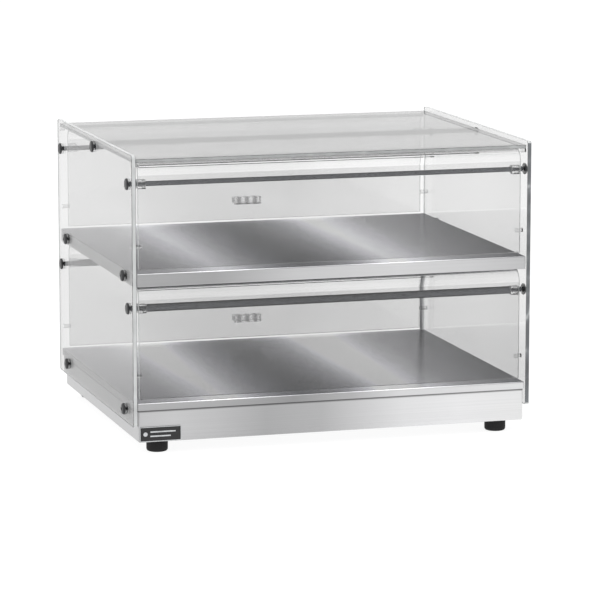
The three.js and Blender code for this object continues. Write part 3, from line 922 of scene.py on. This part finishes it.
def buildHousing():
    low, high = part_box("base_housing")
    piece = addBlock("baseHousing", low, high)
    editMode(piece)
    pickFaces(piece, lambda middle, normal: normal.z > 0.9)
    bpy.ops.mesh.delete(type="FACE")
    bevelEdges(piece, lambda middle, way: middle.z < high.z - 0.5 * mm, housing["fold"], 5)
    pickFaces(piece, lambda middle, normal: normal.z < -0.99)
    bpy.ops.mesh.inset(thickness=housing["flange"] * mm)
    bpy.ops.mesh.delete(type="FACE")
    closeUp()
    giveWall(piece, housing["sheet"])

    radius = sidePanel["screwHole"] * mm
    holes = [addBar("hole", radius, low.x - mm, high.x + mm, middleOf(f"screw_{name}_left"), 24)
             for name in ("base_front", "base_rear")]
    inside, outside = rearWallY - 5 * mm, rearWallY + mm
    for node in ("thermostat_knob", "pilot_lamp", "cord_gland"):
        spot = middleOf(node)
        holes.append(addRound("hole", housing[node] * mm, (spot.x, inside, spot.z), (spot.x, outside, spot.z)))
    spot = middleOf("switch_body")
    halfWidth, halfHeight = (size / 2 * mm for size in housing["switchHole"])
    holes.append(addBlock("hole", (spot.x - halfWidth, inside, spot.z - halfHeight),
                          (spot.x + halfWidth, outside, spot.z + halfHeight)))
    combine(piece, holes)
    softenEdges(piece, housing["edge"], 1, 60, 30)
    finishPiece(piece, "case", "brushed_stainless", [housingSteel], "base_housing")


buildHousing()
print("housing built")


# ---------- feet ----------
foot = {
    "profile": [(0, 0.9), (8.0, 0.9), (8.8, 0), (10.4, 0), (11.8, 0.5), (12.7, 1.7), (13.0, 3.4), (13.0, 11.6),
                (12.6, 12.6), (11.6, 13.0), (11.2, 14.7), (3.5, 14.7), (3.5, 16.3), (4.6, 16.3), (4.3, 17.3),
                (3.0, 20.0), (0, 20.0)],
    "steps": 48,
}


def buildFeet():
    master = addTurned("foot", foot["profile"], foot["steps"])
    smoothFaces(master, 35)
    for row in outwards:
        for side in sides:
            node = f"foot_{row}_{side}"
            middle = middleOf(node)
            copy = copyPiece(master, f"foot{row.title()}{side.title()}")
            standAt(copy, (middle.x, middle.y, 0), (0, 0, 1))
            finishPiece(copy, "case", "foot_rubber", [footRubber], node)
    bpy.data.objects.remove(master)


buildFeet()
print("feet built")


# ---------- plain badge ----------
badge = {
    "corner": 1.5,
    "rim": 0.9,
    "sunk": 0.35,
    "film": 0.1,              # how far the marks stay behind the rim's front and reach into the sunk face
    "dot": (7, 2.6),          # from the left edge, and its radius
    "bars": ((13, 44, 2.6), (13, 38, -2.6)),      # left end, right end, height over the middle
    "barHeight": 1.6,
}


def buildBadge():
    low, high, middle = measured("badge_plate")
    plate = addBlock("badgePlate", low, high)
    editMode(plate)
    bevelEdges(plate, lambda spot, way: abs(way.y) > 0.9, badge["corner"], 4)
    pickFaces(plate, lambda spot, normal: normal.y < -0.9)
    bpy.ops.mesh.inset(thickness=badge["rim"] * mm)
    bpy.ops.mesh.extrude_region_move(TRANSFORM_OT_translate={"value": (0, badge["sunk"] * mm, 0)})
    goToObjectMode()
    softenEdges(plate, 0.1, 1)
    finishPiece(plate, "case", "badge_black", [badgeBlack, badgeLight], "badge_plate")
    paintFaces(plate, 1, lambda spot, normal: normal.y < -0.9 and spot.y < low.y + 0.1 * mm)

    start, end = low.y + badge["film"] * mm, low.y + (badge["sunk"] + badge["film"]) * mm
    across, radius = (size * mm for size in badge["dot"])
    spotX = low.x + across
    marks = [addRound("badgeMark", radius, (spotX, end, middle.z), (spotX, start, middle.z), 28)]
    for left, right, up in badge["bars"]:
        marks.append(addBlock("bar", (low.x + left * mm, start, middle.z + (up - badge["barHeight"] / 2) * mm),
                              (low.x + right * mm, end, middle.z + (up + badge["barHeight"] / 2) * mm)))
    mark = joinAll(marks)
    softenEdges(mark, 0.1, 1)
    finishPiece(mark, "case", "badge_black", [badgeLight])


buildBadge()
print("badge built")


# ---------- controls on the rear wall ----------
knob = {
    # radius and height; the face's heights count back from the front
    "skirt": [(0, 10.5), (3.5, 10.5), (3.5, 0), (14.6, 0), (15, 0.4), (15, 1.3), (14.4, 1.9), (11.6, 2.6),
              (11.2, 3.2)],
    "face": [(10.4, 1.6), (10.1, 0.9), (9.3, 0.5), (8.6, 0.8), (0, 0.9)],
    "ribs": 20,
    "ribDepth": 0.5,
    "pointer": (1.6, 9),      # width and length of the light line
    "pointerDepth": 1.4,
    "ticks": 11,
    "tickSweep": 270,         # degrees
    "tickHalf": 0.3,
    "tickStart": 16.4,
    "tickLong": 3.2,
    "tickShort": 2.0,
}


def standOnRearWall(piece, node):
    # a piece modelled about the Z axis points out of the rear wall where the node is
    middle = middleOf(node)
    standAt(piece, (middle.x, rearWallY, middle.z), (0, 1, 0))


def ribRim(piece, low, high):
    # every second face round the rim is pushed in, in edit mode
    def isGap(middle, normal):
        turn = (math.atan2(middle.y, middle.x) / (2 * math.pi)) % 1
        return low * mm < middle.z < high * mm and abs(normal.z) < 0.3 and int(turn * knob["ribs"] * 2) % 2 == 0
    pickFaces(piece, isGap)
    bpy.ops.mesh.extrude_region_shrink_fatten(TRANSFORM_OT_shrink_fatten={"value": -knob["ribDepth"] * mm})


def buildKnob():
    low, high, middle = measured("thermostat_knob")
    depth = (high.y - low.y) / mm
    profile = knob["skirt"] + [(radius, depth - back) for radius, back in knob["face"]]
    body = addTurned("thermostatKnob", profile, 2 * knob["ribs"])
    editMode(body)
    ribRim(body, knob["skirt"][-1][1], depth - knob["face"][0][1])
    goToObjectMode()
    smoothFaces(body, 32)
    standAt(body, (middle.x, low.y, middle.z), (0, 1, 0))
    finishPiece(body, "thermostat_knob", "control_black", [controlBlack], "thermostat_knob")

    width, length = (size * mm for size in knob["pointer"])
    line = addBlock("knobPointer", (middle.x - width / 2, high.y - knob["pointerDepth"] * mm, middle.z + 0.5 * mm),
                    (middle.x + width / 2, high.y - 0.1 * mm, middle.z + length))
    editMode(line)
    pickFaces(line, lambda spot, normal: normal.y > 0.9)
    bpy.ops.mesh.inset(thickness=0.3 * mm)
    bpy.ops.mesh.extrude_region_move(TRANSFORM_OT_translate={"value": (0, 0.1 * mm, 0)})
    goToObjectMode()
    softenEdges(line, 0.08, 1)
    finishPiece(line, "thermostat_knob", "control_black", [markWhite])

    ticks = []
    half, start, sweep = knob["tickHalf"] * mm, knob["tickStart"], knob["tickSweep"]
    for i in range(knob["ticks"]):
        turn = math.radians(-sweep / 2 + sweep * i / (knob["ticks"] - 1))
        end = start + (knob["tickLong"] if i % 5 == 0 else knob["tickShort"])
        tick = addBlock("scaleMarks", (-half, -0.02 * mm, start * mm), (half, 0.15 * mm, end * mm))
        tick.matrix_world = Matrix.Translation((middle.x, rearWallY, middle.z)) @ Matrix.Rotation(turn, 4, "Y")
        applyPlace(tick)
        ticks.append(tick)
    scale = joinAll(ticks)
    softenEdges(scale, 0.05, 1)
    finishPiece(scale, "case", "control_black", [markBlack])


buildKnob()
print("knob built")

lamp = {
    "lens": [(0, -14), (3.9, -14), (3.9, 0.3), (4.5, 0.3), (4.5, 2.9), (4.2, 3.5), (3.5, 4.0), (2.4, 4.4),
             (1.2, 4.6), (0, 4.7)],
    "bezel": [(4.6, 0.3), (6.0, 0.3), (6.0, 1.6), (5.7, 2.3), (5.2, 2.6), (4.6, 2.6), (4.6, 0.3)],
}


def buildLamp():
    lens = addTurned("pilotLens", lamp["lens"], 32)
    bezel = addTurned("pilotBezel", lamp["bezel"], 32)
    for piece in (lens, bezel):
        smoothFaces(piece, 35)
        standOnRearWall(piece, "pilot_lamp")
    finishPiece(lens, "case", "amber_lens", [amberLens], "pilot_lamp")
    finishPiece(bezel, "case", "control_black", [controlBlack])


buildLamp()
print("lamp built")

switch = {
    # half width, half height, start and end from the wall
    "bezel": (7.6, 10.8, 0.3, 2.0),
    "barrel": (6.4, 9.4, -16, 1),
    "well": (5.2, 8.6, -7, 5),
    "key": (4.8, 7.6, -3, 3.4),
    "tilt": 8,                # degrees, at rest
    "dish": 1.2,              # how far the key's middle sinks
    "dishRound": 4,
    "taper": 0.52,            # the key's foot against its face
    "barMark": ((-0.35, 2.4, -5.9), (0.35, 3.3, -3.1)),
    "ringMark": (1.5, 1.0, 4.6),      # outer radius, inner radius, height
    "ringDepths": (2.2, 3.2),
}


def addColumn(name, part, centre):
    halfWidth, halfHeight, start, end = (size * mm for size in switch[part])
    return addBlock(name, (centre.x - halfWidth, centre.y + start, centre.z - halfHeight),
                    (centre.x + halfWidth, centre.y + end, centre.z + halfHeight))


def buildSwitch(centre):
    body = addColumn("switchBody", "bezel", centre)
    combine(body, [addColumn("barrel", "barrel", centre)], "UNION")
    combine(body, [addColumn("well", "well", centre)])
    softenEdges(body, 0.35)
    finishPiece(body, "case", "control_black", [controlBlack], "switch_body")


def buildRocker(centre):
    key = addColumn("switchRocker", "key", Vector())
    editMode(key)
    bpy.ops.mesh.select_all(action="SELECT")
    bpy.ops.mesh.bisect(plane_co=(0, 0, 0), plane_no=(0, 0, 1))
    pickEdges(key, lambda spot, way: abs(way.x) > 0.9 and abs(spot.z) < 0.1 * mm and spot.y > 0)
    bpy.ops.transform.translate(value=(0, -switch["dish"] * mm, 0))
    bpy.ops.mesh.bevel(offset=switch["dishRound"] * mm, segments=6, affect="EDGES")
    pickEdges(key, lambda spot, way: abs(way.x) > 0.9 and spot.y < -2.9 * mm and abs(spot.z) > 7 * mm)
    bpy.ops.transform.resize(value=(1, 1, switch["taper"]), center_override=(0, 0, 0))
    goToObjectMode()
    bar = addBlock("mark", *([size * mm for size in corner] for corner in switch["barMark"]))
    outer, inner, up = (size * mm for size in switch["ringMark"])
    back, front = (size * mm for size in switch["ringDepths"])
    ring = addRound("mark", outer, (0, back, up), (0, front, up), 28)
    combine(ring, [addRound("hole", inner, (0, back - 0.4 * mm, up), (0, front + 0.8 * mm, up), 28)])
    softenEdges(key, 0.4)
    mark = joinAll([bar, ring])
    mark.name = "rockerMarks"
    softenEdges(mark, 0.06, 1)
    for piece in (key, mark):
        piece.rotation_euler = (math.radians(switch["tilt"]), 0, 0)
        piece.location = centre
        applyPlace(piece)
    finishPiece(key, "switch_rocker", "control_black", [controlBlack], "switch_rocker")
    finishPiece(mark, "switch_rocker", "control_black", [markWhite])


switchSpot = middleOf("switch_body")
switchSpot.y = rearWallY
buildSwitch(switchSpot)
buildRocker(switchSpot)
print("switch built")

gland = {
    "profile": [(3.6, -8), (5.8, -8), (6, -7.8), (6, 0.3), (7.2, 0.3), (7.2, 4.4), (6.9, 5.0), (6.6, 7.4),
                (6.3, 8.6), (5.4, 9.9), (4.8, 10.4), (4.0, 10.5), (3.6, 10.1), (3.6, -8)],
    "nut": (9.0, 7.25),       # corner radius and bore
    "nutHeights": (0.3, 3.7),
}


def buildGland():
    body = addTurned("cordGland", gland["profile"], 32)
    smoothFaces(body, 35)
    corner, bore = (size * mm for size in gland["nut"])
    start, end = (size * mm for size in gland["nutHeights"])
    nut = addRound("glandNut", corner, (0, 0, start), (0, 0, end), 6)
    combine(nut, [addRound("hole", bore, (0, 0, -mm), (0, 0, 8 * mm))])
    softenEdges(nut, 0.35)
    for piece in (body, nut):
        standOnRearWall(piece, "cord_gland")
    finishPiece(body, "case", "control_black", [controlBlack], "cord_gland")
    finishPiece(nut, "case", "control_black", [controlBlack])


buildGland()
print("gland built")


# ---------- conduit ----------
conduit = {"bore": 1.6, "round": 0.15}


def buildConduit():
    low, high, middle = measured("shelf_conduit")
    bottom, top, outer = low.z / mm, high.z / mm, (high.x - low.x) / 2 / mm
    bore, edge = conduit["bore"], conduit["round"]
    tube = addTurned("shelfConduit", [
        (bore, bottom), (outer - edge, bottom), (outer, bottom + edge), (outer, top - edge), (outer - edge, top),
        (bore, top), (bore, bottom)], 28)
    smoothFaces(tube, 35)
    standAt(tube, (middle.x, middle.y, 0), (0, 0, 1))
    finishPiece(tube, "case", "brushed_stainless", [tubeSteel], "shelf_conduit")


buildConduit()
print("conduit built")


# ---------- CAD nodes that keep their shape ----------
keptNodes = {
    "bottom_cover": millSteel,
    "shelf_underside": millSteel,
    "shelf_heater": heaterMat,
    "base_heater": heaterMat,
    "thermostat_body": casingPlastic,
    "thermostat_spindle": spindleSteel,
    "sensor_bulb": copper,
    "terminal_block": terminalPlastic,
    "supply_leads": leadDark,
    "switch_leads": leadDark,
    "base_heater_leads": leadGrey,
    "shelf_heater_leads": leadGrey,
}
for node, material in keptNodes.items():
    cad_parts[node].material_slots[0].material = material
print("inside parts finished")

deselectAll()
